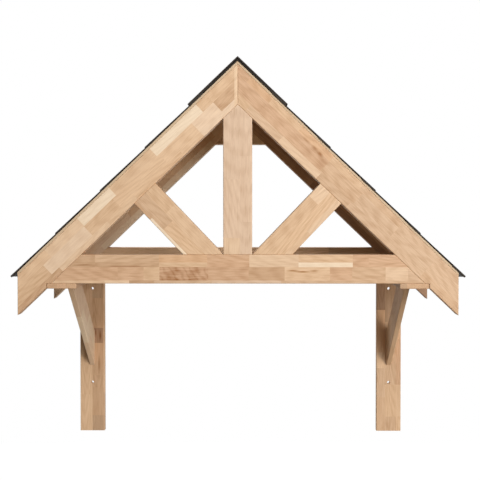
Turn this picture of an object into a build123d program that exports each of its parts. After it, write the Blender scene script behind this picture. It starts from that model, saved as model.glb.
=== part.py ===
"""Porch canopy: an oak king post truss roof on two wall brackets.

Millimetres, +Z up, +X to the right of someone who faces the door from outside.
The wall is the plane Y = 0 and the canopy reaches out towards -Y. The origin
is the middle of the rear tie beam's back face, which lies against the wall.
"""

import os
from math import atan2, cos, radians, sin, tan

from build123d import *

# Timber sections
timber_width = 100.0
truss_thickness = 45.0
arris = 1.5
notch_clearance = 2.0

# Trusses: the front one closes the gable, the rear one lies against the wall
roof_pitch = 43.7
projection = 500.0
inner_rise = 518.0
tail_half_width = 762.0
gusset_half_width = 102.5

# Wall brackets: a board under both trusses, a post on the wall, a brace between
bracket_centre_x = 610.0
side_board_thickness = 18.0
post_thickness = 20.0
post_length = 639.0
brace_thickness = 20.0
brace_width = 100.0
brace_reach = 368.0
brace_drop = 368.0

# Screw holes through the wall posts
wall_hole_diameter = 12.0
top_hole_inset = 52.0
bottom_hole_inset = 200.0

# Roof covering: boarding, lapped slates and a ridge cap
deck_thickness = 8.0
slate_thickness = 3.0
slate_lap = 60.0
slate_course_count = 4
verge_overhang = 3.0
eaves_overhang = 19.0
eaves_fillet_rise = 3.0
ridge_cap_wing = 228.0
ridge_cap_lap = 4.0
ridge_cap_thickness = 4.5

# The slope, seen from the front, and the heights where its lines meet x = 0
pitch = radians(roof_pitch)
tie_top = timber_width / 2
tie_bottom = -timber_width / 2
inner_apex = tie_top + inner_rise
outer_apex = inner_apex + timber_width / cos(pitch)
deck_apex = outer_apex + deck_thickness / cos(pitch)


def under_rafter(x):
    """Height of the rafters' lower edge at a distance x from the middle."""
    return inner_apex - x * tan(pitch)


def over_rafter(x):
    """Height of the rafters' upper edge at a distance x from the middle."""
    return outer_apex - x * tan(pitch)


def over_deck(x):
    """Height of the boarding's upper face at a distance x from the middle."""
    return deck_apex - x * tan(pitch)


def front_view(depth):
    """A plane to draw on as seen from the front, at a depth out from the wall."""
    return Plane.XZ.offset(depth)


def ease_edges(timber, axis):
    """The edges round the two faces of a sawn board that look along the axis."""
    faces = timber.faces().filter_by(axis).sort_by(axis)
    return faces[0].edges() + faces[-1].edges()


os.makedirs("parts", exist_ok=True)

sides = (("left", -1), ("right", 1))
trusses = (("rear", 0.0), ("front", projection - truss_thickness))

# Rafters: mitred together at the apex, cut plumb at the tail, and notched to
# sit over the outer edge of the side board that carries them
board_inner_x = bracket_centre_x - timber_width / 2
board_outer_x = bracket_centre_x + timber_width / 2
notch_x = board_outer_x + notch_clearance
notch_start_x = (inner_apex - tie_bottom) / tan(pitch)

rafter_outline = [
    (0, inner_apex),
    (0, outer_apex),
    (tail_half_width, over_rafter(tail_half_width)),
    (tail_half_width, under_rafter(tail_half_width)),
]
if notch_x > notch_start_x:
    rafter_outline += [
        (notch_x, under_rafter(notch_x)),
        (notch_x, tie_bottom),
        (notch_start_x, tie_bottom),
    ]

for truss, depth in trusses:
    for hand, side in sides:
        with BuildPart() as rafter:
            with BuildSketch(front_view(depth)):
                with BuildLine():
                    Polyline(*[(side * x, z) for x, z in rafter_outline], close=True)
                make_face()
            extrude(amount=truss_thickness)
            chamfer(ease_edges(rafter, Axis.Y), length=arris)
        rafter.part.label = f"{truss}_rafter_{hand}"
        export_step(rafter.part, f"parts/{truss}_rafter_{hand}.step")

# Tie beams: level between the rafters' lower edges, which cut both ends
tie_top_x = (inner_apex - tie_top) / tan(pitch)
tie_bottom_x = (inner_apex - tie_bottom) / tan(pitch)

for truss, depth in trusses:
    with BuildPart() as tie_beam:
        with BuildSketch(front_view(depth)):
            with BuildLine():
                Polyline(
                    (-tie_bottom_x, tie_bottom),
                    (tie_bottom_x, tie_bottom),
                    (tie_top_x, tie_top),
                    (-tie_top_x, tie_top),
                    close=True,
                )
            make_face()
        extrude(amount=truss_thickness)
        chamfer(ease_edges(tie_beam, Axis.Y), length=arris)
    tie_beam.part.label = f"{truss}_tie_beam"
    export_step(tie_beam.part, f"parts/{truss}_tie_beam.step")

# King post: from the tie beam to the apex, its head cut to a point
king_half_width = timber_width / 2

with BuildPart() as king_post:
    with BuildSketch(front_view(projection - truss_thickness)):
        with BuildLine():
            Polyline(
                (-king_half_width, tie_top),
                (king_half_width, tie_top),
                (king_half_width, under_rafter(king_half_width)),
                (0, inner_apex),
                (-king_half_width, under_rafter(king_half_width)),
                close=True,
            )
        make_face()
    extrude(amount=truss_thickness)
    chamfer(ease_edges(king_post, Axis.Y), length=arris)
king_post.part.label = "king_post"
export_step(king_post.part, "parts/king_post.step")

# Struts: square to the rafters, rising from the foot of the king post
strut_length = (under_rafter(king_half_width) - tie_top) * cos(pitch)
strut_rise = strut_length * cos(pitch)
strut_run = strut_length * sin(pitch)
strut_foot_width = timber_width / cos(pitch)
strut_head_x = king_half_width + strut_run
strut_low_x = strut_head_x + timber_width * cos(pitch)

for hand, side in sides:
    strut_outline = [
        (king_half_width, tie_top),
        (king_half_width + strut_foot_width, tie_top),
        (strut_low_x, under_rafter(strut_low_x)),
        (strut_head_x, tie_top + strut_rise),
    ]
    with BuildPart() as strut:
        with BuildSketch(front_view(projection - truss_thickness)):
            with BuildLine():
                Polyline(*[(side * x, z) for x, z in strut_outline], close=True)
            make_face()
        extrude(amount=truss_thickness)
        chamfer(ease_edges(strut, Axis.Y), length=arris)
    strut.part.label = f"strut_{hand}"
    export_step(strut.part, f"parts/strut_{hand}.step")

# Apex gusset: ties the heads of the rear rafters, where there is no king post
with BuildPart() as apex_gusset:
    with BuildSketch(front_view(0)):
        with BuildLine():
            Polyline(
                (0, inner_apex),
                (-gusset_half_width, under_rafter(gusset_half_width)),
                (gusset_half_width, under_rafter(gusset_half_width)),
                close=True,
            )
        make_face()
    extrude(amount=truss_thickness)
    chamfer(ease_edges(apex_gusset, Axis.Y), length=arris)
apex_gusset.part.label = "rear_apex_gusset"
export_step(apex_gusset.part, "parts/rear_apex_gusset.step")

# Side boards: lie under both trusses and reach from the wall to the gable
board_bottom = tie_bottom - side_board_thickness

for hand, side in sides:
    with BuildPart() as side_board:
        with BuildSketch(Plane.XY.offset(board_bottom)):
            with Locations((side * bracket_centre_x, -projection / 2)):
                Rectangle(timber_width, projection)
        extrude(amount=side_board_thickness)
        chamfer(ease_edges(side_board, Axis.Z), length=arris)
    side_board.part.label = f"side_board_{hand}"
    export_step(side_board.part, f"parts/side_board_{hand}.step")

# Wall posts: stand against the wall under the side boards, with two screw
# holes each, one near the top and one well above the foot
post_bottom = board_bottom - post_length
hole_spacing = post_length - top_hole_inset - bottom_hole_inset
hole_middle = (board_bottom - top_hole_inset + post_bottom + bottom_hole_inset) / 2

for hand, side in sides:
    with BuildPart() as wall_post:
        with BuildSketch(front_view(0)):
            with Locations((side * bracket_centre_x, board_bottom - post_length / 2)):
                Rectangle(timber_width, post_length)
            with Locations((side * bracket_centre_x, hole_middle)):
                with GridLocations(0, hole_spacing, 1, 2):
                    Circle(wall_hole_diameter / 2, mode=Mode.SUBTRACT)
        extrude(amount=post_thickness)
        long_edges = wall_post.edges().filter_by(Axis.Z)
        chamfer(long_edges, length=arris)
    wall_post.part.label = f"wall_post_{hand}"
    export_step(wall_post.part, f"parts/wall_post_{hand}.step")

# Braces: boards on edge, mitred to the wall post's face and the side board
brace_angle = atan2(brace_drop, brace_reach)
brace_head_depth = brace_width / sin(brace_angle)
brace_foot_height = brace_width / cos(brace_angle)
brace_toe_y = -post_thickness - brace_reach
brace_toe_z = board_bottom - brace_drop

for hand, side in sides:
    brace_inner_x = side * bracket_centre_x - brace_thickness / 2
    with BuildPart() as brace:
        with BuildSketch(Plane.YZ.offset(brace_inner_x)):
            with BuildLine():
                Polyline(
                    (-post_thickness, brace_toe_z),
                    (brace_toe_y, board_bottom),
                    (brace_toe_y + brace_head_depth, board_bottom),
                    (-post_thickness, brace_toe_z + brace_foot_height),
                    close=True,
                )
            make_face()
        extrude(amount=brace_thickness)
        chamfer(ease_edges(brace, Axis.X), length=arris)
    brace.part.label = f"brace_{hand}"
    export_step(brace.part, f"parts/brace_{hand}.step")

# Roof boarding: lies on both trusses, mitred at the ridge, cut plumb with the
# rafter tails
for hand, side in sides:
    deck_outline = [
        (0, outer_apex),
        (tail_half_width, over_rafter(tail_half_width)),
        (tail_half_width, over_deck(tail_half_width)),
        (0, deck_apex),
    ]
    with BuildPart() as roof_deck:
        with BuildSketch(front_view(0)):
            with BuildLine():
                Polyline(*[(side * x, z) for x, z in deck_outline], close=True)
            make_face()
        extrude(amount=projection)
    roof_deck.part.label = f"roof_deck_{hand}"
    export_step(roof_deck.part, f"parts/roof_deck_{hand}.step")

# Slates: each course lies on the head of the course below, so all of them
# share one tilt to the boarding. Places on the slope are a distance up from
# the eaves and a height square to the boarding.
eaves_x = tail_half_width + eaves_overhang
slope_length = eaves_x / cos(pitch)
slate_gauge = (slope_length - ridge_cap_wing + ridge_cap_lap) / slate_course_count
slate_tilt = slate_thickness / slate_gauge
slate_tail_lift = (slate_gauge + slate_lap) * slate_tilt
roof_depth = projection + verge_overhang


def on_slope(distance, height):
    """Front view point at a distance up the slope and a height off the boarding."""
    x = eaves_x - distance * cos(pitch) + height * sin(pitch)
    z = over_deck(eaves_x) + distance * sin(pitch) + height * cos(pitch)
    return x, z


def up_to_ridge(height, fall):
    """The slope distance where a line that starts off the eaves at a height and
    falls towards the ridge meets x = 0."""
    return (eaves_x + height * sin(pitch)) / (cos(pitch) + fall * sin(pitch))


slate_outlines = {}

# The starter course is the short one under the tails of the first
slate_outlines["slate_starter"] = [
    on_slope(0, slate_tail_lift - slate_thickness),
    on_slope(0, slate_tail_lift),
    on_slope(slate_lap, slate_thickness),
    on_slope(slate_lap, 0),
]

for course in range(slate_course_count):
    tail = course * slate_gauge
    head = tail + slate_gauge + slate_lap
    slate_outlines[f"slate_course_{course + 1}"] = [
        on_slope(tail, slate_tail_lift),
        on_slope(tail, slate_tail_lift + slate_thickness),
        on_slope(head, slate_thickness),
        on_slope(head, 0),
    ]

# The top course runs on under the ridge cap and is mitred at the ridge
top_tail = slate_course_count * slate_gauge
top_lift = slate_tail_lift + top_tail * slate_tilt
top_under = up_to_ridge(top_lift, slate_tilt)
top_over = up_to_ridge(top_lift + slate_thickness, slate_tilt)
slate_outlines["slate_top_course"] = [
    on_slope(top_tail, slate_tail_lift),
    on_slope(top_tail, slate_tail_lift + slate_thickness),
    on_slope(top_over, top_lift + slate_thickness - top_over * slate_tilt),
    on_slope(top_under, top_lift - top_under * slate_tilt),
]

for name, outline in slate_outlines.items():
    for hand, side in sides:
        with BuildPart() as slates:
            with BuildSketch(front_view(0)):
                with BuildLine():
                    Polyline(*[(side * x, z) for x, z in outline], close=True)
                make_face()
            extrude(amount=roof_depth)
        slates.part.label = f"{name}_{hand}"
        export_step(slates.part, f"parts/{name}_{hand}.step")

# Eaves fillets: close the corner between the rafter tails and the slates
fillet_bottom = over_deck(eaves_x) + eaves_fillet_rise
fillet_outer_x = (deck_apex - fillet_bottom) / tan(pitch)

for hand, side in sides:
    with BuildPart() as eaves_fillet:
        with BuildSketch(front_view(0)):
            with BuildLine():
                Polyline(
                    (side * tail_half_width, over_deck(tail_half_width)),
                    (side * tail_half_width, fillet_bottom),
                    (side * fillet_outer_x, fillet_bottom),
                    close=True,
                )
            make_face()
        extrude(amount=projection)
    eaves_fillet.part.label = f"eaves_fillet_{hand}"
    export_step(eaves_fillet.part, f"parts/eaves_fillet_{hand}.step")

# Ridge cap: one folded length over the top courses of both slopes
cap_tail = top_tail - ridge_cap_lap
cap_under = slate_tail_lift + slate_thickness
cap_over = cap_under + ridge_cap_thickness
cap_half = [
    on_slope(up_to_ridge(cap_under, 0), cap_under),
    on_slope(cap_tail, cap_under),
    on_slope(cap_tail, cap_over),
    on_slope(up_to_ridge(cap_over, 0), cap_over),
]

with BuildPart() as ridge_cap:
    with BuildSketch(front_view(0)):
        with BuildLine():
            Polyline(*cap_half, *[(-x, z) for x, z in cap_half[2:0:-1]], close=True)
        make_face()
    extrude(amount=roof_depth)
ridge_cap.part.label = "ridge_cap"
export_step(ridge_cap.part, "parts/ridge_cap.step")
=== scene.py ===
import math
import random

import bmesh
import bpy
from mathutils import Matrix, Vector


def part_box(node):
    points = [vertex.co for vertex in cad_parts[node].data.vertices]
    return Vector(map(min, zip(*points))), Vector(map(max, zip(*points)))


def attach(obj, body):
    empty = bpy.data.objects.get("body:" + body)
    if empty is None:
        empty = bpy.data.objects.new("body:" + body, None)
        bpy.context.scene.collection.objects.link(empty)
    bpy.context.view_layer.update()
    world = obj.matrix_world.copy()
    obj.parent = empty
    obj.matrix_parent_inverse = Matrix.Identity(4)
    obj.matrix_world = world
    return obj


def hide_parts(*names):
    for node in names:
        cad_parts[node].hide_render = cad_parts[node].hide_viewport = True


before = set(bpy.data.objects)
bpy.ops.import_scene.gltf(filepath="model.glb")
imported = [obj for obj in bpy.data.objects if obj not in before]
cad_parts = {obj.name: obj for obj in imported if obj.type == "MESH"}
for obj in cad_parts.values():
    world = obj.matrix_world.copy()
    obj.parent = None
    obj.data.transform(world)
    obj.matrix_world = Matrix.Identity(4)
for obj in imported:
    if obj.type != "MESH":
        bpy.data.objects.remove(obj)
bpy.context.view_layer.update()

# ---------------------------------------------------------------------------
# Front rafters. Two laminated oak timbers, 45 x 100 mm, planed and left bare.
# Each is glued up edge to edge from full-thickness staves, butted end to end
# in rows; the pair is mitred at the ridge and cut plumb at the eaves.
# ---------------------------------------------------------------------------


def linear(hex_colour, alpha=1.0):
    """A six-figure sRGB hex colour as linear red, green, blue and alpha."""
    parts = [int(hex_colour[i : i + 2], 16) / 255 for i in (0, 2, 4)]
    return [p / 12.92 if p <= 0.04045 else ((p + 0.055) / 1.055) ** 2.4 for p in parts] + [alpha]


def new_material(name):
    """An empty node material, with its node tree."""
    material = bpy.data.materials.new(name)
    material.use_nodes = True
    material.node_tree.nodes.clear()
    return material, material.node_tree


def add_node(tree, kind, inputs, **settings):
    """Adds a shader node. An input is a value, or the output socket that feeds it."""
    made = tree.nodes.new("ShaderNode" + kind)
    for name, value in settings.items():
        setattr(made, name, value)
    for socket, value in inputs.items():
        if isinstance(value, bpy.types.NodeSocket):
            tree.links.new(value, made.inputs[socket])
        else:
            made.inputs[socket].default_value = value
    return made


def wave_scale(gap):
    """The Scale at which a wave texture's bands or rings lie one gap apart, in metres."""
    return math.tau / 20 / gap


def merged_copy(node):
    """A CAD solid as a bmesh with welded corners and each flat face in one piece."""
    bm = bmesh.new()
    bm.from_mesh(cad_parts[node].data)
    bmesh.ops.remove_doubles(bm, verts=bm.verts, dist=1e-5)
    bmesh.ops.dissolve_limit(bm, angle_limit=0.02, verts=bm.verts, edges=bm.edges)
    return bm


def cut(bm, point, normal, geometry=None, clear_outer=False):
    """Cuts a bmesh, or only the geometry given, with the plane square to normal at point."""
    if geometry is None:
        geometry = bm.verts[:] + bm.edges[:] + bm.faces[:]
    return bmesh.ops.bisect_plane(bm, geom=geometry, dist=1e-6, plane_co=point, plane_no=normal,
                                  clear_outer=clear_outer)


def add_piece(name, bm, material):
    """Puts a finished bmesh in the scene as an object of one material."""
    mesh = bpy.data.meshes.new(name)
    bm.to_mesh(mesh)
    bm.free()
    mesh.materials.append(material)
    piece = bpy.data.objects.new(name, mesh)
    bpy.context.scene.collection.objects.link(piece)
    return piece


# Tones of the staves, each with how strongly its figure shows, from 0 to 1
cream = linear("f4dec2", 0.25)
ivory = linear("edd0b2", 0.3)
pearl = linear("e7c7a5", 0.35)
ash = linear("e0c2a6", 0.4)
honey = linear("e5c29d", 0.4)
straw = linear("e1bd97", 0.45)
sand = linear("dab896", 0.45)
amber = linear("deb48b", 0.45)
tan = linear("d7b38f", 0.5)
fawn = linear("d7ae89", 0.5)
drab = linear("cfa882", 0.5)
hazel = linear("be9b79", 0.5)
umber = linear("a98263", 0.55)
russet = linear("d2a884", 0.9)

dice = random.Random(41)
beyond = 9.0  # metres, further than any timber reaches


def laminate(node, start, along, across, rows, material, ease=0.0008):
    """A CAD timber cut into its staves, with its arrises eased. Rows run along the timber,
    side by side from start; each is its width in mm and its staves, as end in mm and tone."""
    start, along, across = Vector(start), Vector(along), Vector(across)
    through = along.cross(across)
    bm = merged_copy(node)
    tone_layer = bm.faces.layers.float_color.new("tone")
    heart_layer = bm.faces.layers.float_vector.new("heart")

    edge = 0.0
    for width, _ in rows[:-1]:
        edge += width / 1000
        cut(bm, start + across * edge, across)
    edge = 0.0
    for number, (width, staves) in enumerate(rows):
        low = edge if number else -beyond
        edge += width / 1000
        high = edge if number < len(rows) - 1 else beyond
        for end, _ in staves[:-1]:
            row_faces = [f for f in bm.faces
                         if low < (f.calc_center_median() - start).dot(across) < high]
            row_geometry = set(row_faces)
            for face in row_faces:
                row_geometry.update(face.edges, face.verts)
            cut(bm, start + along * (end / 1000), along, list(row_geometry))
        begin = -beyond
        for place, (end, tone) in enumerate(staves):
            finish = end / 1000 if place < len(staves) - 1 else beyond
            middle = start + along * ((max(begin, 0.0) + end / 1000) / 2)
            middle += across * (edge - width / 2000)
            # the heart of the tree, which the rings circle: off the stave's face for arched
            # figure, or off its edge for straight lines. It is set out from start, so it lies
            # within 115 mm of the rear truss, the side boards and the wall posts, but 0.4 to
            # 0.7 m from the front truss and the braces, whose rings are flatter
            arched = dice.random() < 0.6
            heart = middle + along * dice.uniform(-0.5, 0.5)
            heart += across * (dice.uniform(-0.02, 0.02) if arched
                               else dice.choice((-1, 1)) * dice.uniform(0.05, 0.1))
            heart += through * (dice.choice((-1, 1)) * dice.uniform(0.025, 0.06) if arched
                                else dice.uniform(-0.02, 0.02))
            shade = dice.uniform(0.975, 1.025)
            for face in bm.faces:
                centre = face.calc_center_median() - start
                if low < centre.dot(across) < high and begin < centre.dot(along) < finish:
                    face[tone_layer] = [c * shade for c in tone[:3]] + [tone[3]]
                    face[heart_layer] = heart
            begin = finish
    arrises = [e for e in bm.edges if e.calc_face_angle(0) > 0.6]
    bmesh.ops.bevel(bm, geom=arrises, offset=ease, offset_type="OFFSET", segments=2, profile=0.5,
                    affect="EDGES", material=-1, clamp_overlap=True)
    bmesh.ops.dissolve_degenerate(bm, dist=1e-5, edges=bm.edges)
    timber = add_piece(node + "_staves", bm, material)
    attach(timber, "root")
    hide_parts(node)
    return timber


def planed_oak(name, along, across, corner=(0, 0, 0), marks=()):
    """Bare planed European oak with its grain along one line. Growth rings 2.6 mm
    apart, fibre streaks 3 mm wide and pores 1 mm wide: real pores are 0.3 mm, drawn
    coarser so that they show. Dry and open, so it is dull with a soft sheen. A mark
    is a pin knot or a mineral streak: how far it lies along and across the grain
    from a corner, its length, its width and its strength."""
    material, tree = new_material(name)
    along, across = Vector(along), Vector(across)
    turn = Matrix((along, across, along.cross(across))).transposed().to_euler()
    place = add_node(tree, "TexCoord", {})
    heart = add_node(tree, "Attribute", {}, attribute_name="heart")
    tone = add_node(tree, "Attribute", {}, attribute_name="tone")
    off_heart = add_node(tree, "VectorMath", {0: place.outputs["Object"],
                                              1: heart.outputs["Vector"]}, operation="SUBTRACT")
    grain = add_node(tree, "Mapping", {"Vector": off_heart.outputs[0], "Rotation": turn},
                     vector_type="TEXTURE")
    # the tree tapers and leans a little, so its rings run out of the face in arches
    lean = add_node(tree, "Mapping", {"Vector": grain.outputs[0], "Scale": (14, 1, 1),
                                      "Rotation": (0, math.radians(2.2), math.radians(1.6))},
                    vector_type="TEXTURE")
    rings = add_node(tree, "TexWave", {"Vector": lean.outputs[0], "Scale": wave_scale(0.0026),
                                       "Distortion": 4.0, "Detail": 3.0, "Detail Scale": 0.5,
                                       "Detail Roughness": 0.6},
                     wave_type="RINGS", rings_direction="X", wave_profile="SIN")
    stretch = add_node(tree, "Mapping", {"Vector": grain.outputs[0], "Scale": (26, 1, 1)},
                       vector_type="TEXTURE")
    streaks = add_node(tree, "TexNoise", {"Vector": stretch.outputs[0], "Scale": 1 / 0.003,
                                          "Detail": 3.0, "Roughness": 0.6})
    pores = add_node(tree, "TexNoise", {"Vector": stretch.outputs[0], "Scale": 1 / 0.001,
                                        "Detail": 2.0, "Roughness": 0.7})
    clouds = add_node(tree, "TexNoise", {"Vector": lean.outputs[0], "Scale": 1 / 0.03,
                                         "Detail": 2.0})
    # how dark each point is: the porous early wood of the rings, the streaks, soft clouds
    # 30 mm across and the pores
    early = add_node(tree, "MapRange", {"Value": rings.outputs["Fac"],
                                        "From Min": 0.3, "From Max": 1.0, "To Max": 0.4})
    drift = add_node(tree, "MapRange", {"Value": streaks.outputs["Fac"],
                                        "From Min": 0.4, "From Max": 0.7, "To Max": 0.7})
    open_pores = add_node(tree, "MapRange", {"Value": pores.outputs["Fac"],
                                             "From Min": 0.56, "From Max": 0.72, "To Max": 0.3})
    cloud = add_node(tree, "MapRange", {"Value": clouds.outputs["Fac"],
                                        "From Min": 0.35, "From Max": 0.7, "To Max": 0.35})
    figure = add_node(tree, "Math", {0: early.outputs[0], 1: drift.outputs[0]}, operation="ADD")
    figure = add_node(tree, "Math", {0: figure.outputs[0], 1: cloud.outputs[0]}, operation="ADD")
    figure = add_node(tree, "Math", {0: figure.outputs[0], 1: tone.outputs["Alpha"]},
                      operation="MULTIPLY")
    # curly grain crosses the fibres in waves 20 mm apart, where a stave's figure is strongest
    slanted = add_node(tree, "Mapping", {"Vector": grain.outputs[0],
                                         "Rotation": (0, 0, math.radians(-28))},
                       vector_type="TEXTURE")
    waves = add_node(tree, "TexWave", {"Vector": slanted.outputs[0], "Scale": wave_scale(0.020),
                                       "Distortion": 7.0, "Detail": 2.0, "Detail Scale": 1.5},
                     wave_type="BANDS", bands_direction="X", wave_profile="SIN")
    curl = add_node(tree, "MapRange", {"Value": waves.outputs["Fac"],
                                       "From Min": 0.4, "From Max": 1.0, "To Max": 0.28})
    curly = add_node(tree, "MapRange", {"Value": tone.outputs["Alpha"],
                                        "From Min": 0.7, "From Max": 0.9})
    figure = add_node(tree, "Math", {0: curl.outputs[0], 1: curly.outputs[0],
                                     2: figure.outputs[0]}, operation="MULTIPLY_ADD")
    for down, inward, length, width, strength in marks:
        middle = Vector(corner) + along * down + across * inward
        spot = add_node(tree, "Mapping", {"Vector": place.outputs["Object"], "Location": middle,
                                          "Rotation": turn,
                                          "Scale": (length / 2, width / 2, 0.02)},
                        vector_type="TEXTURE")
        reach = add_node(tree, "VectorMath", {0: spot.outputs[0]}, operation="LENGTH")
        ragged = add_node(tree, "Math", {0: streaks.outputs["Fac"], 1: 1.6,
                                         2: reach.outputs["Value"]}, operation="MULTIPLY_ADD")
        stain = add_node(tree, "MapRange", {"Value": ragged.outputs[0],
                                            "From Min": 1.9, "From Max": 0.9, "To Max": strength})
        figure = add_node(tree, "Math", {0: figure.outputs[0], 1: stain.outputs[0]},
                          operation="ADD")
    darkness = add_node(tree, "Math", {0: figure.outputs[0], 1: open_pores.outputs[0]},
                        operation="ADD")
    dark_wood = add_node(tree, "Mix", {"Factor": 1.0, "A": tone.outputs["Color"],
                                       "B": linear("ccbaa6")},
                         data_type="RGBA", blend_type="MULTIPLY")
    light_wood = add_node(tree, "Mix", {"Factor": 0.10, "A": tone.outputs["Color"],
                                        "B": linear("fff3de")}, data_type="RGBA")
    colour = add_node(tree, "Mix", {"Factor": darkness.outputs[0],
                                    "A": light_wood.outputs["Result"],
                                    "B": dark_wood.outputs["Result"]},
                      data_type="RGBA", clamp_factor=False)
    sheen = add_node(tree, "MapRange", {"Value": darkness.outputs[0],
                                        "To Min": 0.56, "To Max": 0.74})
    height = add_node(tree, "Math", {0: 1.0, 1: darkness.outputs[0]}, operation="SUBTRACT")
    relief = add_node(tree, "Bump", {"Height": height.outputs[0], "Strength": 0.25,
                                     "Distance": 0.0003})
    shader = add_node(tree, "BsdfPrincipled", {"Base Color": colour.outputs["Result"],
                                               "Roughness": sheen.outputs[0],
                                               "Normal": relief.outputs[0], "IOR": 1.45})
    add_node(tree, "OutputMaterial", {"Surface": shader.outputs[0]})
    return material


pitch = math.radians(43.7)
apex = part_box("front_rafter_left")[1].z
front_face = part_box("front_rafter_left")[0].y

down_left = (-math.cos(pitch), 0, -math.sin(pitch))
in_left = (math.sin(pitch), 0, -math.cos(pitch))
down_right = (math.cos(pitch), 0, -math.sin(pitch))
in_right = (-math.sin(pitch), 0, -math.cos(pitch))
oak_left_slope = planed_oak("planed oak, left slope", down_left, in_left)
oak_right_slope = planed_oak("planed oak, right slope", down_right, in_right,
                             (0, front_face, apex), [
    (0.392, 0.026, 0.034, 0.014, 0.75),
    (0.419, 0.028, 0.030, 0.016, 0.85),
    (0.440, 0.036, 0.050, 0.018, 0.45),
    (0.355, 0.027, 0.045, 0.009, 0.5),
])

left_rafter = laminate("front_rafter_left", (0, 0, apex), down_left, in_left, [
    (37, [(152, straw), (200, straw), (420, cream), (615, honey), (768, cream), (860, pearl),
          (925, pearl), (1060, honey)]),
    (43, [(152, drab), (255, ivory), (410, honey), (632, honey), (770, straw), (965, ivory),
          (1060, straw)]),
    (20, [(165, ivory), (255, ivory), (350, honey), (570, straw), (700, honey), (870, pearl),
          (930, pearl), (1060, drab)]),
], oak_left_slope)

# Painted highlight: a pale strip 11 mm wide down the left rafter's cut end, where the
# light from the right catches the mitre
mitre_highlight_width = 0.011
mitre_highlight_tone = linear("ebcba7", 0.25)
bm = bmesh.new()
bm.from_mesh(left_rafter.data)
cut(bm, (-mitre_highlight_width, 0, 0), (1, 0, 0))
bmesh.ops.dissolve_degenerate(bm, dist=1e-5, edges=bm.edges)
tone_layer = bm.faces.layers.float_color["tone"]
for face in bm.faces:
    if face.calc_center_median().x > -mitre_highlight_width:
        face[tone_layer] = mitre_highlight_tone
bm.to_mesh(left_rafter.data)
bm.free()

laminate("front_rafter_right", (0, 0, apex), down_right, in_right, [
    (24, [(65, fawn), (170, amber), (310, straw), (460, amber), (600, straw), (790, tan),
          (960, sand), (1060, sand)]),
    (47, [(170, fawn), (460, fawn), (620, tan), (790, sand), (960, sand), (1060, sand)]),
    (29, [(130, straw), (285, sand), (467, pearl), (610, tan), (840, sand), (960, sand),
          (1060, tan)]),
], oak_right_slope)

# ---------------------------------------------------------------------------
# Front tie beam. The level timber that stops the rafters spreading, cut to
# their slope at both ends. Four rows of staves; the lowest is the sliver left
# where the panel was ripped to 100 mm.
# ---------------------------------------------------------------------------
rightward, downward = (1, 0, 0), (0, 0, -1)
tie_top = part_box("front_tie_beam")[1].z
tie_start = -0.65  # where the staves of both tie beams are measured from
oak_level = planed_oak("planed oak, level", rightward, downward, (0, front_face, tie_top), [
    (-0.385, 0.040, 0.22, 0.004, 1.0),
    (-0.525, 0.036, 0.09, 0.005, 0.8),
    (0.190, 0.055, 0.05, 0.006, 1.0),
    (0.225, 0.059, 0.06, 0.007, 1.2),
    (0.265, 0.056, 0.04, 0.006, 1.0),
])

laminate("front_tie_beam", (tie_start, 0, tie_top), rightward, downward, [
    (27, [(157, drab), (378, tan), (545, amber), (690, fawn), (860, pearl), (1047, straw),
          (1102, fawn), (1300, fawn)]),
    (16, [(157, drab), (378, drab), (545, straw), (690, fawn), (860, pearl), (1047, cream),
          (1102, fawn), (1300, fawn)]),
    (46, [(235, fawn), (325, fawn), (380, straw), (548, russet), (688, fawn), (812, drab),
          (968, honey), (1045, fawn), (1160, tan), (1238, pearl), (1300, sand)]),
    (11, [(190, honey), (275, pearl), (360, drab), (560, sand), (800, ash), (960, sand),
          (1130, tan), (1300, tan)]),
], oak_level)

# ---------------------------------------------------------------------------
# King post. Stands on the middle of the tie beam; its head is cut to a point
# that fits up between the rafters. Two rows of pale staves.
# ---------------------------------------------------------------------------
# The wall posts are of this oak too, and its marks lie on the left one
post_low, post_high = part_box("wall_post_left")
post_corner = (post_low.x, post_low.y, post_high.z)
oak_upright = planed_oak("planed oak, upright", downward, rightward, post_corner, [
    (0.246, 0.082, 0.060, 0.012, 0.9),
    (0.236, 0.062, 0.036, 0.010, 0.7),
    (0.365, 0.078, 0.090, 0.012, 0.7),
    (0.330, 0.020, 0.070, 0.016, 0.6),
])
king_low, king_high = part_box("king_post")

laminate("king_post", (king_low.x, 0, king_high.z), downward, rightward, [
    (58, [(258, ash), (460, ash), (520, pearl)]),
    (42, [(178, ash), (405, ash), (520, ash)]),
], oak_upright)

# ---------------------------------------------------------------------------
# Struts. Brace the rafters off the foot of the king post, square to the slope.
# The left one keeps a 10 mm sliver of pale sapwood along its lower edge.
# ---------------------------------------------------------------------------
rise_left, out_left = (-math.sin(pitch), 0, math.cos(pitch)), down_left
rise_right, out_right = (math.sin(pitch), 0, math.cos(pitch)), down_right
oak_left_strut = planed_oak("planed oak, left strut", rise_left, out_left)
oak_right_strut = planed_oak("planed oak, right strut", rise_right, out_right)

laminate("strut_left", (king_low.x, 0, tie_top), rise_left, out_left, [
    (45, [(240, honey), (400, straw)]),
    (45, [(205, straw), (400, tan)]),
    (10, [(262, cream), (400, drab)]),
], oak_left_strut)
laminate("strut_right", (king_high.x, 0, tie_top), rise_right, out_right, [
    (45, [(282, straw), (400, pearl)]),
    (35, [(400, straw)]),
    (20, [(190, honey), (400, pearl)]),
], oak_right_strut)

# ---------------------------------------------------------------------------
# Rear truss. The same oak, laid flat against the wall: two rafters, a tie beam
# and, since it has no king post, a triangular gusset that ties the rafter heads.
# ---------------------------------------------------------------------------


def mixed_staves(length, widths, tones):
    """Rows of staves 130 to 260 mm long, for a timber seen only in part."""
    rows = []
    for width in widths:
        end, staves = dice.uniform(60, 200), []
        while end < length:
            staves.append((end, dice.choice(tones)))
            end += dice.uniform(130, 260)
        rows.append((width, staves + [(length, dice.choice(tones))]))
    return rows


# Painted light: the left rear rafter's pale tones, palest in its lowest row, stand in for the
# light from the right that reaches it through the front truss, most along its lower edge
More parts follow.
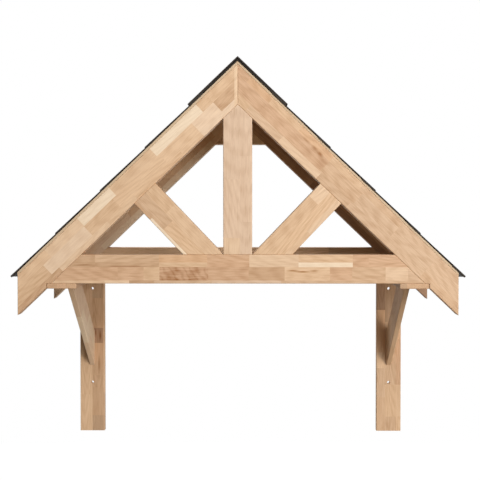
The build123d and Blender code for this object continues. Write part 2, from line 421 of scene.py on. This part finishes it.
laminate("rear_rafter_left", (0, 0, apex), down_left, in_left, [
    (31, [(150, honey), (360, straw), (560, honey), (800, pearl), (1060, ivory)]),
    (46, [(215, ivory), (430, honey), (690, honey), (880, ivory), (1060, pearl)]),
    (23, [(240, ivory), (600, cream), (860, cream), (1060, ivory)]),
], oak_left_slope)
# Painted shade: the right rear rafter's dark umber and hazel tones stand in for the shadow that
# the front rafter and the roof cast on it
laminate("rear_rafter_right", (0, 0, apex), down_right, in_right,
         mixed_staves(1060, (30, 45, 25), (umber, hazel, umber)), oak_right_slope)
# Painted light and shade: the rear tie's top row, seen over the front tie, runs from straw on the
# left, where the light through the front truss falls, to drab and hazel on the right
laminate("rear_tie_beam", (tie_start, 0, tie_top), rightward, downward, [
    (38, [(92, straw), (236, straw), (437, honey), (662, straw), (830, tan), (1010, drab),
          (1300, hazel)]),
] + mixed_staves(1300, (45, 17), (honey, straw, straw, tan, fawn)), oak_level)
# Painted light: the gusset is all in the palest tones, for the light from the right that reaches
# it through the front truss
gusset_low, gusset_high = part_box("rear_apex_gusset")
laminate("rear_apex_gusset", (gusset_low.x, 0, gusset_high.z), rightward, downward, [
    (58, [(210, cream)]),
    (42, [(120, ivory), (210, cream)]),
], oak_level)

# ---------------------------------------------------------------------------
# Wall brackets. On each side an 18 mm board lies under both trusses, a 20 mm
# post stands on the wall and a 20 mm brace, mitred at both ends, runs between
# them. All are ripped from the same laminated oak panel.
# ---------------------------------------------------------------------------
outward = (0, -1, 0)
half_root = math.sqrt(0.5)
rise_out, rise_back = (0, -half_root, half_root), (0, half_root, half_root)
oak_outward = planed_oak("planed oak, front to back", outward, rightward)
oak_brace = planed_oak("planed oak, braces", rise_out, rise_back)

board_arris = 0.0015
left_low, left_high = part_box("side_board_left")
right_low, right_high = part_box("side_board_right")
laminate("side_board_left", (left_low.x, left_high.y, left_low.z), outward, rightward, [
    (36, [(210, tan), (390, straw), (520, drab)]),
    (30, [(150, straw), (330, amber), (520, fawn)]),
    (34, [(260, tan), (520, drab)]),
], oak_outward, board_arris)
laminate("side_board_right", (right_low.x, right_high.y, right_low.z), outward, rightward, [
    (24, [(180, tan), (370, amber), (520, hazel)]),
    (50, [(240, straw), (520, drab)]),
    (26, [(150, tan), (520, drab)]),
], oak_outward, board_arris)

laminate("wall_post_left", (left_low.x, 0, left_low.z), downward, rightward, [
    (50, [(250, tan), (362, straw), (490, straw), (700, straw)]),
    (45, [(92, hazel), (215, drab), (277, umber), (410, drab), (460, drab), (576, drab),
          (700, hazel)]),
    (5, [(270, straw), (480, honey), (700, tan)]),
], oak_upright)
# Painted shade: the umber stave at the top of the right post's first row stands in for the shadow
# that the rafter tail and the roof cast there
laminate("wall_post_right", (right_low.x, 0, right_low.z), downward, rightward, [
    (35, [(140, umber), (315, amber), (380, honey), (500, sand), (700, tan)]),
    (45, [(190, hazel), (448, tan), (580, straw), (700, tan)]),
    (20, [(260, amber), (448, fawn), (580, honey), (700, straw)]),
], oak_upright)

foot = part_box("brace_left")[0].z
wall_face = post_low.y
laminate("brace_left", (0, wall_face, foot), rise_out, rise_back, [
    (42, [(160, ivory), (330, cream), (600, ivory)]),
    (48, [(230, cream), (420, ivory), (600, ivory)]),
    (10, [(300, ivory), (600, pearl)]),
], oak_brace)
# Painted shade: the right brace's straw and honey tones, darker and warmer than the left brace's,
# stand in for the shade on its face, which is turned from the light
laminate("brace_right", (0, wall_face, foot), rise_out, rise_back, [
    (46, [(140, straw), (300, honey), (600, honey)]),
    (44, [(210, honey), (400, straw), (600, honey)]),
    (10, [(260, straw), (600, sand)]),
], oak_brace)

# ---------------------------------------------------------------------------
# Roof boarding. Spruce matchboards, 8 mm thick and 96 mm wide, run from the
# wall to the gable over both trusses. Each joint shows below as a small V; the
# black felt laid on top makes the joints between the slates dark.
# ---------------------------------------------------------------------------


def sawn_spruce(name, turn):
    """Bare spruce board: pale, with straight brown grain lines 4 mm apart and a
    matt, slightly woolly face. A face marked as felted is black bitumen felt."""
    material, tree = new_material(name)
    place = add_node(tree, "TexCoord", {})
    board = add_node(tree, "Attribute", {}, attribute_name="board")
    felted = add_node(tree, "Attribute", {}, attribute_name="felted")
    shifted = add_node(tree, "VectorMath", {0: place.outputs["Object"],
                                            1: board.outputs["Vector"]}, operation="SUBTRACT")
    grain = add_node(tree, "Mapping", {"Vector": shifted.outputs[0], "Rotation": turn,
                                       "Scale": (16, 1, 1)}, vector_type="TEXTURE")
    lines = add_node(tree, "TexWave", {"Vector": grain.outputs[0], "Scale": wave_scale(0.004),
                                       "Distortion": 4.0, "Detail": 2.0, "Detail Scale": 0.4},
                     wave_type="RINGS", rings_direction="X", wave_profile="SAW")
    fibres = add_node(tree, "TexNoise", {"Vector": grain.outputs[0], "Scale": 1 / 0.0015,
                                         "Detail": 3.0})
    late = add_node(tree, "MapRange", {"Value": lines.outputs["Fac"],
                                       "From Min": 0.6, "From Max": 1.0, "To Max": 0.6},
                    interpolation_type="SMOOTHSTEP")
    fuzz = add_node(tree, "MapRange", {"Value": fibres.outputs["Fac"],
                                       "From Min": 0.4, "From Max": 0.7, "To Max": 0.4})
    mark = add_node(tree, "Math", {0: late.outputs[0], 1: fuzz.outputs[0]}, operation="ADD",
                    use_clamp=True)
    wood = add_node(tree, "Mix", {"Factor": mark.outputs[0], "A": linear("d8c2a6"),
                                  "B": linear("b79468")}, data_type="RGBA")
    colour = add_node(tree, "Mix", {"Factor": felted.outputs["Fac"],
                                    "A": wood.outputs["Result"],
                                    "B": linear("1d1b19")}, data_type="RGBA")
    relief = add_node(tree, "Bump", {"Height": mark.outputs[0], "Strength": 0.2,
                                     "Distance": 0.0003})
    shader = add_node(tree, "BsdfPrincipled", {"Base Color": colour.outputs["Result"],
                                               "Roughness": 0.75, "IOR": 1.45,
                                               "Normal": relief.outputs[0]})
    add_node(tree, "OutputMaterial", {"Surface": shader.outputs[0]})
    return material


def slope_lines(side):
    """The lines straight down the roof's left (-1) or right (1) slope and square out of it."""
    downhill = Vector((side * math.cos(pitch), 0, -math.sin(pitch)))
    skyward = Vector((side * math.sin(pitch), 0, math.cos(pitch)))
    return downhill, skyward


sides = (("left", -1), ("right", 1))
ridge_point = Vector((0, 0, apex))
spruce = sawn_spruce("sawn spruce boards", (0, 0, math.radians(90)))
board_width = 0.096
joint_count = 11
ridge_board_trim = 0.02  # ripped off the two boards that meet at the ridge
vee_width, vee_depth = 0.002, 0.0018
end_chamfer = 0.0007

for hand, side in sides:
    node = "roof_deck_" + hand
    downhill, skyward = slope_lines(side)
    bm = merged_copy(node)
    joints = []
    for number in range(1, joint_count + 1):
        down = number * board_width - ridge_board_trim
        joint = cut(bm, ridge_point + downhill * down, downhill)
        joints += [e for e in joint["geom_cut"] if isinstance(e, bmesh.types.BMEdge)]
    below = [
        e for e in joints
        if e.is_valid and all(abs((v.co - ridge_point).dot(skyward)) < 1e-5 for v in e.verts)
    ]
    # each joint edge becomes a strip as wide as the V, whose middle line is then pushed up,
    # with the corners that the chamfered ends put within 1.5 mm above it
    bmesh.ops.bevel(bm, geom=below, offset=vee_width, offset_type="WIDTH", segments=2,
                    profile=0.5, affect="EDGES", material=-1, clamp_overlap=True)
    ends = [
        e for e in bm.edges
        if e.calc_face_angle(0) > 0.9 and abs(e.verts[0].co.y - e.verts[1].co.y) < 1e-5
    ]
    bmesh.ops.bevel(bm, geom=ends, offset=end_chamfer, offset_type="OFFSET", segments=1,
                    profile=0.5, affect="EDGES", material=-1, clamp_overlap=True)
    for vert in bm.verts:
        reach = (vert.co - ridge_point).dot(downhill) + ridge_board_trim
        number = round(reach / board_width)
        on_joint = 1 <= number <= joint_count and abs(reach - number * board_width) < 0.0002
        if on_joint and abs((vert.co - ridge_point).dot(skyward)) < 0.0015:
            vert.co += skyward * vee_depth
    bmesh.ops.dissolve_degenerate(bm, dist=1e-5, edges=bm.edges)
    bm.normal_update()
    board_layer = bm.faces.layers.float_vector.new("board")
    felt_layer = bm.faces.layers.float.new("felted")
    for face in bm.faces:
        face[felt_layer] = float(face.normal.dot(skyward) > 0.9)
        reach = (face.calc_center_median() - ridge_point).dot(downhill) + ridge_board_trim
        number = int(reach // board_width)
        # the heart of each board's tree lies up to 70 mm below its underside or 50 mm above
        lot = random.Random(number + 50 * side)
        heart = ridge_point + downhill * (number * board_width)
        heart += skyward * lot.uniform(-0.07, 0.05)
        heart += downhill * lot.uniform(-0.03, 0.12)
        heart += Vector((0, lot.uniform(0, 2), 0))
        face[board_layer] = heart
    boards = add_piece("roof_boards_" + hand, bm, spruce)
    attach(boards, "root")
    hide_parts(node)

# ---------------------------------------------------------------------------
# Eaves fillets. Softwood wedges painted black, nailed along the rafter tails
# to carry the first slates over the gutter line.
# ---------------------------------------------------------------------------
# Black exterior wood paint, half dull, with brush marks 1.2 mm wide along each fillet
black_paint, tree = new_material("black microporous paint")
place = add_node(tree, "TexCoord", {})
brushed = add_node(tree, "Mapping", {"Vector": place.outputs["Object"], "Scale": (1, 0.06, 1)})
brush = add_node(tree, "TexNoise", {"Vector": brushed.outputs[0], "Scale": 1 / 0.0012,
                                    "Detail": 2.0})
coat = add_node(tree, "Mix", {"Factor": brush.outputs["Fac"], "A": linear("1d1b1a"),
                              "B": linear("2c2a28")}, data_type="RGBA")
gloss = add_node(tree, "MapRange", {"Value": brush.outputs["Fac"],
                                    "To Min": 0.42, "To Max": 0.6})
relief = add_node(tree, "Bump", {"Height": brush.outputs["Fac"], "Strength": 0.2,
                                 "Distance": 0.0002})
shader = add_node(tree, "BsdfPrincipled", {"Base Color": coat.outputs["Result"],
                                           "Roughness": gloss.outputs[0],
                                           "Normal": relief.outputs[0]})
add_node(tree, "OutputMaterial", {"Surface": shader.outputs[0]})
for node in ("eaves_fillet_left", "eaves_fillet_right"):
    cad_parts[node].data.materials.clear()
    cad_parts[node].data.materials.append(black_paint)

# ---------------------------------------------------------------------------
# Slates. Thin dark roof slates, 3 mm thick and up to 250 mm wide, laid broken
# bond: every other course starts with a half. Tails are dressed to a rough
# edge and the split face is finely riven. The next course covers their nails.
# ---------------------------------------------------------------------------
# Split slate, dull and nearly black: riven steps 9 to 18 mm across with 1 mm grit between
# them, clouded every 70 mm
slate, tree = new_material("riven dark slate")
place = add_node(tree, "TexCoord", {})
batch = add_node(tree, "Attribute", {}, attribute_name="batch")
own = add_node(tree, "VectorMath", {0: place.outputs["Object"], 1: batch.outputs["Vector"]},
               operation="ADD")
steps = add_node(tree, "TexVoronoi", {"Vector": own.outputs[0], "Scale": 1 / 0.018,
                                      "Randomness": 1.0, "Smoothness": 0.6},
                 feature="SMOOTH_F1", distance="EUCLIDEAN")
rough = add_node(tree, "TexNoise", {"Vector": own.outputs[0], "Scale": 1 / 0.009,
                                    "Detail": 5.0, "Roughness": 0.65})
grit = add_node(tree, "TexNoise", {"Vector": own.outputs[0], "Scale": 1 / 0.001, "Detail": 2.0})
patch = add_node(tree, "TexNoise", {"Vector": own.outputs[0], "Scale": 1 / 0.07, "Detail": 2.0})
shade = add_node(tree, "Math", {0: patch.outputs["Fac"], 1: rough.outputs["Fac"]},
                 operation="MULTIPLY")
shade = add_node(tree, "MapRange", {"Value": shade.outputs[0],
                                    "From Min": 0.12, "From Max": 0.42})
face_colour = add_node(tree, "Mix", {"Factor": shade.outputs[0], "A": linear("1f1812"),
                                     "B": linear("332b23")}, data_type="RGBA")
tint = add_node(tree, "Mix", {"Factor": batch.outputs["Fac"],
                              "A": face_colour.outputs["Result"],
                              "B": linear("27211a")}, data_type="RGBA")
height = add_node(tree, "Math", {0: rough.outputs["Fac"], 1: steps.outputs["Distance"]},
                  operation="ADD")
height = add_node(tree, "Math", {0: grit.outputs["Fac"], 1: 0.12, 2: height.outputs[0]},
                  operation="MULTIPLY_ADD")
relief = add_node(tree, "Bump", {"Height": height.outputs[0], "Strength": 0.7,
                                 "Distance": 0.0015})
dull = add_node(tree, "MapRange", {"Value": rough.outputs["Fac"], "To Min": 0.5, "To Max": 0.75})
shader = add_node(tree, "BsdfPrincipled", {"Base Color": tint.outputs["Result"],
                                           "Roughness": dull.outputs[0],
                                           "Normal": relief.outputs[0], "IOR": 1.5,
                                           "Specular IOR Level": 0.25})
add_node(tree, "OutputMaterial", {"Surface": shader.outputs[0]})

roof_front, roof_back = (corner.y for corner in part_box("slate_course_1_left"))
joint_gap = 0.003
dressed_chamfer = 0.0014
tail_cuts, ragged_depth = 23, 0.0011
nibbled_zone, whole_corner = 0.004, 0.002  # up from the tail, and in from each side
halves = (0.0, 0.5, 1.0)
quarters = (0.0, 0.25, 0.75, 1.0)
courses = (("slate_starter", quarters), ("slate_course_1", halves), ("slate_course_2", quarters),
           ("slate_course_3", halves), ("slate_course_4", quarters), ("slate_top_course", halves))

for course, breaks in courses:
    for hand, side in sides:
        node = f"{course}_{hand}"
        downhill, skyward = slope_lines(side)
        laid = bmesh.new()
        laid.faces.layers.float_vector.new("batch")
        for first, last in zip(breaks, breaks[1:]):
            near = roof_front + (roof_back - roof_front) * first + (joint_gap / 2 if first else 0)
            far = roof_front + (roof_back - roof_front) * last - (joint_gap / 2 if last < 1 else 0)
            bm = merged_copy(node)
            for depth, outwards in ((near, -1), (far, 1)):
                cut(bm, (0, depth, 0), (0, outwards, 0), clear_outer=True)
                bmesh.ops.holes_fill(bm, edges=[e for e in bm.edges if e.is_boundary])
            bmesh.ops.recalc_face_normals(bm, faces=bm.faces)
            # the tail's upper arris is dressed to a chamfer, and the tail is nibbled ragged
            tail = max((v.co - ridge_point).dot(downhill) for v in bm.verts)
            top = max((v.co - ridge_point).dot(skyward) for v in bm.verts
                      if (v.co - ridge_point).dot(downhill) > tail - 0.002)
            arris = [
                e for e in bm.edges
                if all((v.co - ridge_point).dot(downhill) > tail - 1e-4
                       and (v.co - ridge_point).dot(skyward) > top - 1e-4 for v in e.verts)
            ]
            bmesh.ops.bevel(bm, geom=arris, offset=dressed_chamfer, offset_type="OFFSET",
                            segments=1, profile=0.5, affect="EDGES", material=-1)
            long_edges = [e for e in bm.edges if abs((e.verts[0].co - e.verts[1].co).y) > 0.02]
            bmesh.ops.subdivide_edges(bm, edges=long_edges, cuts=tail_cuts, use_grid_fill=True)
            for vert in bm.verts:
                at_tail = (vert.co - ridge_point).dot(downhill) > tail - nibbled_zone
                if near + whole_corner < vert.co.y < far - whole_corner and at_tail:
                    vert.co -= downhill * dice.uniform(0, ragged_depth)
            layer = bm.faces.layers.float_vector.new("batch")
            lot = Vector((dice.uniform(-3, 3), dice.uniform(-3, 3), dice.uniform(-3, 3)))
            for face in bm.faces:
                face[layer] = lot
            one = bpy.data.meshes.new("one_slate")
            bm.to_mesh(one)
            bm.free()
            laid.from_mesh(one)
            bpy.data.meshes.remove(one)
        slates = add_piece(node + "_slates", laid, slate)
        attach(slates, "root")
        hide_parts(node)

# ---------------------------------------------------------------------------
# Ridge cap. One length of black PVC sheet, 4.5 mm thick, folded warm over the
# ridge so that its wings lie on the top slates. Domed screws with washers hold
# each wing down to the boards.
# ---------------------------------------------------------------------------
# Matt black PVC with a film of dust: the sheet's fine leather grain is 0.5 mm across, drawn
# at 1.5 mm so that it shows
folded_plastic, tree = new_material("black PVC sheet, matt")
place = add_node(tree, "TexCoord", {})
hide = add_node(tree, "TexVoronoi", {"Vector": place.outputs["Object"], "Scale": 1 / 0.0015},
                feature="DISTANCE_TO_EDGE")
dust = add_node(tree, "TexNoise", {"Vector": place.outputs["Object"], "Scale": 1 / 0.05,
                                   "Detail": 4.0, "Roughness": 0.6})
film = add_node(tree, "MapRange", {"Value": dust.outputs["Fac"],
                                   "From Min": 0.35, "From Max": 0.7})
face_colour = add_node(tree, "Mix", {"Factor": film.outputs[0], "A": linear("211911"),
                                     "B": linear("29211a")}, data_type="RGBA")
dull = add_node(tree, "MapRange", {"Value": film.outputs[0], "To Min": 0.58, "To Max": 0.64})
relief = add_node(tree, "Bump", {"Height": hide.outputs["Distance"], "Strength": 0.3,
                                 "Distance": 0.0003})
shader = add_node(tree, "BsdfPrincipled", {"Base Color": face_colour.outputs["Result"],
                                           "Roughness": dull.outputs[0],
                                           "Normal": relief.outputs[0], "IOR": 1.53,
                                           "Specular IOR Level": 0.25})
add_node(tree, "OutputMaterial", {"Surface": shader.outputs[0]})

fold_width, rim_rounding = 0.003, 0.0006
bm = merged_copy("ridge_cap")
fold = [e for e in bm.edges if all(abs(v.co.x) < 1e-5 for v in e.verts) and e.calc_length() > 0.2]
rims = [e for e in bm.edges if e not in fold and e.calc_face_angle(0) > 1.0]
bmesh.ops.bevel(bm, geom=fold, offset=fold_width, offset_type="WIDTH", segments=5, profile=0.5,
                affect="EDGES", material=-1)
rims = [e for e in rims if e.is_valid]
bmesh.ops.bevel(bm, geom=rims, offset=rim_rounding, offset_type="OFFSET", segments=2,
                profile=0.5, affect="EDGES", material=-1)
cap = add_piece("folded_ridge_cap", bm, folded_plastic)
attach(cap, "root")
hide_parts("ridge_cap")

# Black-coated steel, a little shinier than the cap and worn bright at its high points
coated_steel, tree = new_material("black coated steel")
place = add_node(tree, "TexCoord", {})
scuffs = add_node(tree, "TexNoise", {"Vector": place.outputs["Object"], "Scale": 1 / 0.0012,
                                     "Detail": 3.0, "Roughness": 0.7})
scuff = add_node(tree, "MapRange", {"Value": scuffs.outputs["Fac"],
                                    "From Min": 0.5, "From Max": 0.75})
face_colour = add_node(tree, "Mix", {"Factor": scuff.outputs[0], "A": linear("1c1b1b"),
                                     "B": linear("4a4744")}, data_type="RGBA")
gloss = add_node(tree, "MapRange", {"Value": scuff.outputs[0], "To Min": 0.35, "To Max": 0.5})
relief = add_node(tree, "Bump", {"Height": scuffs.outputs["Fac"], "Strength": 0.2,
                                 "Distance": 0.0002})
shader = add_node(tree, "BsdfPrincipled", {"Base Color": face_colour.outputs["Result"],
                                           "Roughness": gloss.outputs[0],
                                           "Normal": relief.outputs[0]})
add_node(tree, "OutputMaterial", {"Surface": shader.outputs[0]})

# half the section of a washer and a domed head, as radius and height above the cap; it is
# turned about the screw's axis
section = ((0, -0.0005), (0.0065, -0.0005), (0.0065, 0.0006), (0.006, 0.001), (0.0045, 0.0011),
           (0.0043, 0.0021), (0.0033, 0.0028), (0.0018, 0.0031), (0, 0.0032))
screw_depths = (0.06, 0.2, 0.34, 0.45)  # from the wall end of the cap
screw_inset = 0.03  # from the wing's lower edge

cap_low, cap_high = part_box("ridge_cap")
cap_wing = (cap_high.x - cap_low.x) / 2 / math.cos(pitch)
bm = bmesh.new()
for _, side in sides:
    downhill, skyward = slope_lines(side)
    stance = Matrix((downhill, (0, 1, 0), skyward)).transposed().to_4x4()
    for depth in screw_depths:
        seat = Vector((0, cap_high.y - depth, cap_high.z)) + downhill * (cap_wing - screw_inset)
        rim = [bm.verts.new((radius, 0, lift)) for radius, lift in section]
        outline = [bm.edges.new(pair) for pair in zip(rim, rim[1:])]
        bmesh.ops.spin(bm, geom=rim + outline, cent=(0, 0, 0), axis=(0, 0, 1), angle=math.tau,
                       steps=20, use_merge=True)
        fresh = [v for v in bm.verts if not v.tag]
        bmesh.ops.remove_doubles(bm, verts=fresh, dist=1e-6)
        fresh = [v for v in bm.verts if not v.tag]
        bmesh.ops.transform(bm, verts=fresh, matrix=Matrix.Translation(seat) @ stance)
        for vert in fresh:
            vert.tag = True
bmesh.ops.recalc_face_normals(bm, faces=bm.faces)
screws = add_piece("ridge_screws", bm, coated_steel)
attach(screws, "root")

# ---------------------------------------------------------------------------
# Studio: a floor far below the canopy and a surround, both white to the eye
# but with little light of their own, and five soft lights, four from the front
# and one from behind. The camera stands in front.
# ---------------------------------------------------------------------------
scene = bpy.context.scene
scene.view_settings.view_transform = "Standard"


def seen_directly(tree):
    """1 where the camera looks at a surface, directly, in a reflection or through glass, and
    0 where the surface only lights something else."""
    path = add_node(tree, "LightPath", {})
    seen = add_node(tree, "Math", {0: path.outputs["Is Camera Ray"],
                                   1: path.outputs["Is Glossy Ray"]}, operation="MAXIMUM")
    seen = add_node(tree, "Math", {0: seen.outputs[0],
                                   1: path.outputs["Is Transmission Ray"]}, operation="MAXIMUM")
    return seen.outputs[0]


# Matt floor paint: warm grey to the light that falls on it, lifted to white where it is seen
floor_half_width, floor_level = 4.4, -2.2
floor_paint, tree = new_material("matt white floor paint")
matt = add_node(tree, "BsdfDiffuse", {"Color": linear("aa9d8a"), "Roughness": 0.6})
lift = add_node(tree, "Emission", {"Color": linear("f3f7ff"), "Strength": 0.86})
both = add_node(tree, "AddShader", {0: matt.outputs[0], 1: lift.outputs[0]})
shown = add_node(tree, "MixShader", {0: seen_directly(tree), 1: matt.outputs[0],
                                     2: both.outputs[0]})
add_node(tree, "OutputMaterial", {"Surface": shown.outputs[0]})
bm = bmesh.new()
bmesh.ops.create_grid(bm, x_segments=1, y_segments=1, size=floor_half_width,
                      matrix=Matrix.Translation((0, 0, floor_level)))
floor = add_piece("studio_floor", bm, floor_paint)

surround = bpy.data.worlds.new("pale surround")
scene.world = surround
surround.use_nodes = True
tree = surround.node_tree
tree.nodes.clear()
dim = add_node(tree, "Background", {"Color": linear("ffe6cb"), "Strength": 0.03})
white = add_node(tree, "Background", {"Color": linear("ffffff"), "Strength": 1.0})
shown = add_node(tree, "MixShader", {0: seen_directly(tree), 1: dim.outputs[0],
                                     2: white.outputs[0]})
add_node(tree, "OutputWorld", {"Surface": shown.outputs[0]})


def softbox(name, azimuth, elevation, distance, size, power, colour):
    """A square area light that faces the canopy. Its place is in degrees right of the front
    and above level and in metres away, its size in metres and its power in watts."""
    lamp = bpy.data.lights.new(name, "AREA")
    lamp.shape, lamp.size, lamp.energy, lamp.color = "SQUARE", size, power, linear(colour)[:3]
    light = bpy.data.objects.new(name, lamp)
    a, e = math.radians(azimuth), math.radians(elevation)
    back = Vector((math.sin(a) * math.cos(e), -math.cos(a) * math.cos(e), math.sin(e)))
    light.location = Vector((0, -0.25, 0)) + back * distance
    light.rotation_euler = back.to_track_quat("Z", "Y").to_euler()
    scene.collection.objects.link(light)


softbox("key_softbox", 22, 17, 8.0, 3.6, 232, "ffffff")
softbox("high_softbox", 0, 40, 8.0, 2.4, 140, "ffffff")
softbox("side_softbox", 38, 27, 8.0, 2.4, 170, "ffffff")
softbox("low_softbox", 44, -1, 8.0, 2.4, 180, "fff2e2")
softbox("back_softbox", 195, 50, 8.0, 3.0, 420, "ffffff")

# The camera stands 3 m in front of the wall, a little right of the middle and above the
# tie beam, and looks down and left by less than a degree
lens = bpy.data.cameras.new("front_camera")
lens.sensor_width = 36
lens.lens = 54.5475
lens.shift_x, lens.shift_y = -0.0209375, -0.04425
camera = bpy.data.objects.new("front_camera", lens)
camera.location = (0.0578, -3.0066, 0.2115)
camera.rotation_euler = (math.radians(90 - 0.856), 0, math.radians(0.344))
scene.collection.objects.link(camera)
scene.camera = camera
